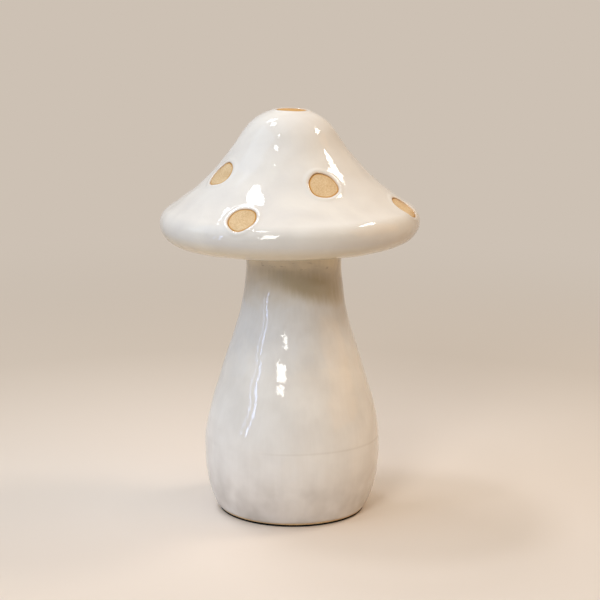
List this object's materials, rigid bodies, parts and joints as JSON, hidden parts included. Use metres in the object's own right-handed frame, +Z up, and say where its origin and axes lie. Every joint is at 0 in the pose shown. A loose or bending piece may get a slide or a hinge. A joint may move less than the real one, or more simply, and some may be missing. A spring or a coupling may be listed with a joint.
{
  "type": "ceramic mushroom ornament",
  "caption": "Free-standing glazed ceramic mushroom with a swelling hollow stalk, a peaked cap with a rounded rim, and bare clay spots on the cap.",
  "frame": {"origin": "centre of the felt's underside, on the stalk's axis, where the ornament rests on a table", "axes": "+Z up the stalk, +X to the right and -Y towards the viewer in the picture"},
  "size_m": [0.1783, 0.1784, 0.28],
  "materials": {
    "felt": "matte pressed felt",
    "bare_clay": "matte unglazed fired clay, toasted at the glaze's edge",
    "slip": "matte fired slip",
    "cap_gloss": "gloss white glaze",
    "stalk_gloss": "gloss white glaze with grey-brown clouding"
  },
  "bodies": {
    "root": {"base_pad": "felt", "stalk_body": "bare_clay", "stalk_glaze": "stalk_gloss", "slip_seam": "slip", "cap_body": "bare_clay", "cap_glaze": "cap_gloss"}
  },
  "joints": []
}
